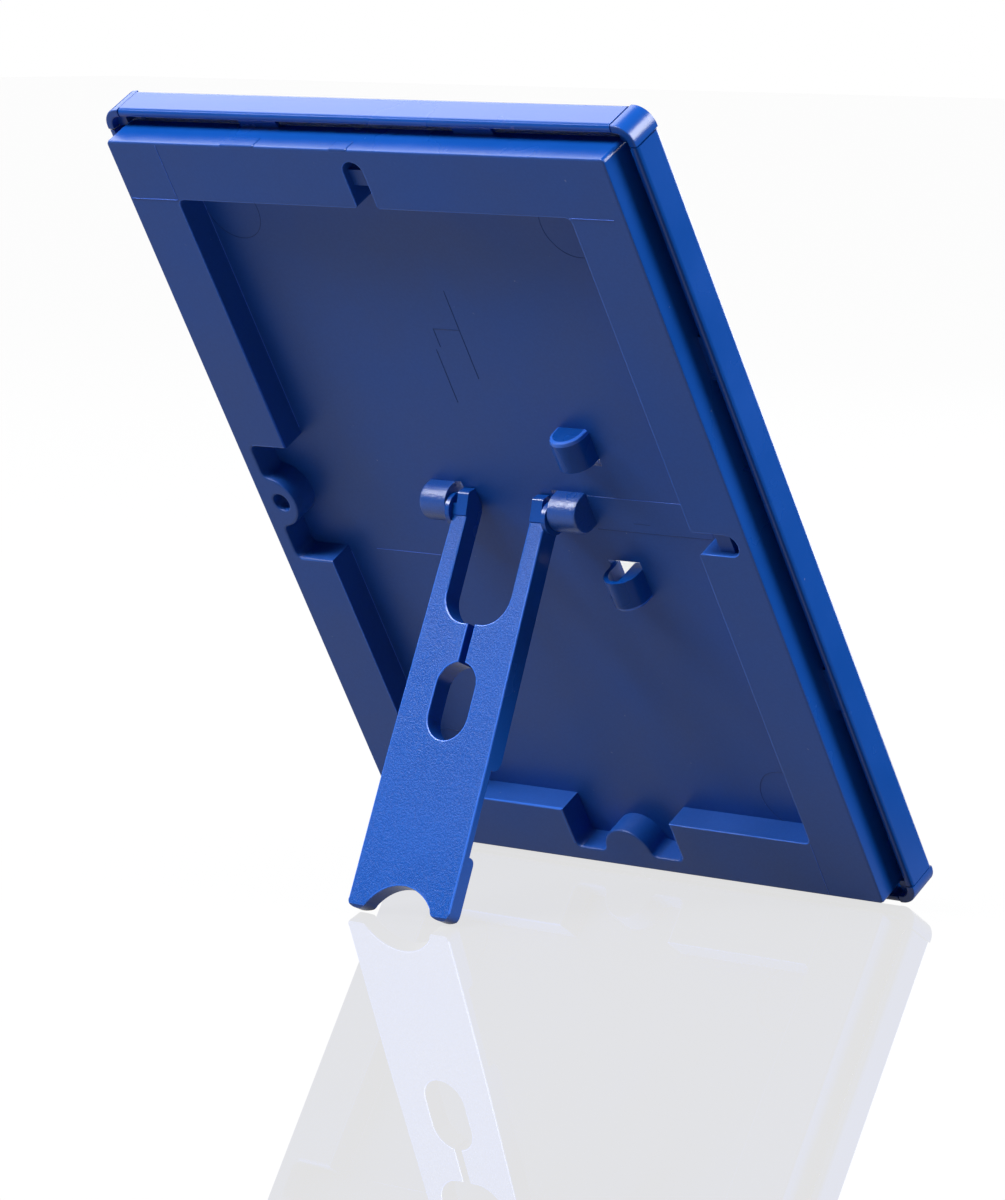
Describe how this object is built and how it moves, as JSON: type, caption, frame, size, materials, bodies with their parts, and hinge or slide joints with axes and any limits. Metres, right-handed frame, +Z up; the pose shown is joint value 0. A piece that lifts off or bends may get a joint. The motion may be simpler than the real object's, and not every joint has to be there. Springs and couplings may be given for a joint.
{
  "type": "snap frame",
  "caption": "Moulded tabletop snap picture frame with a recessed back panel, hinged edge rails that clamp a print under a clear cover, and a forked fold-out stand leg",
  "frame": {"origin": "middle of the footprint on the floor that the frame stands on, leaning back on its leg", "axes": "+Z up, -Y towards the picture side, +Y towards the leg, X across the frame"},
  "size_m": [0.1382, 0.1062, 0.1639],
  "materials": {
    "panel_plastic": "moulded blue plastic, satin",
    "rail_plastic": "moulded blue plastic, glossy",
    "leg_plastic": "moulded blue plastic, fine spark texture",
    "print_paper": "blank photo paper",
    "cover_plastic": "clear cover sheet"
  },
  "bodies": {
    "back": {"back_panel": "panel_plastic", "print_sheet": "print_paper", "clear_cover": "cover_plastic"},
    "top_rail": {"rail_top": "rail_plastic"},
    "right_rail": {"rail_right": "rail_plastic"},
    "bottom_rail": {"rail_bottom": "rail_plastic"},
    "left_rail": {"rail_left": "rail_plastic"},
    "stand": {"stand_leg": "leg_plastic"}
  },
  "joints": [
    {"name": "stand_hinge", "type": "hinge", "parent": "back", "child": "stand", "pos_m": [-0.0006, 0.00425, 0.0792], "axis": [-1, 0, 0], "range_deg": [0, 52.9]},
    {"name": "top_rail_hinge", "type": "hinge", "parent": "back", "child": "top_rail", "pos_m": [0, 0.04737, 0.15877], "axis": [-1, 0, 0], "range_deg": [0, 52]},
    {"name": "right_rail_hinge", "type": "hinge", "parent": "back", "child": "right_rail", "pos_m": [0.06625, 0.00014, 0.08111], "axis": [0, 0.5196, 0.8544], "range_deg": [0, 52]},
    {"name": "bottom_rail_hinge", "type": "hinge", "parent": "back", "child": "bottom_rail", "pos_m": [0, -0.04709, 0.00344], "axis": [1, 0, 0], "range_deg": [0, 52]},
    {"name": "left_rail_hinge", "type": "hinge", "parent": "back", "child": "left_rail", "pos_m": [-0.06625, 0.00014, 0.08111], "axis": [0, -0.5196, -0.8544], "range_deg": [0, 52]}
  ]
}
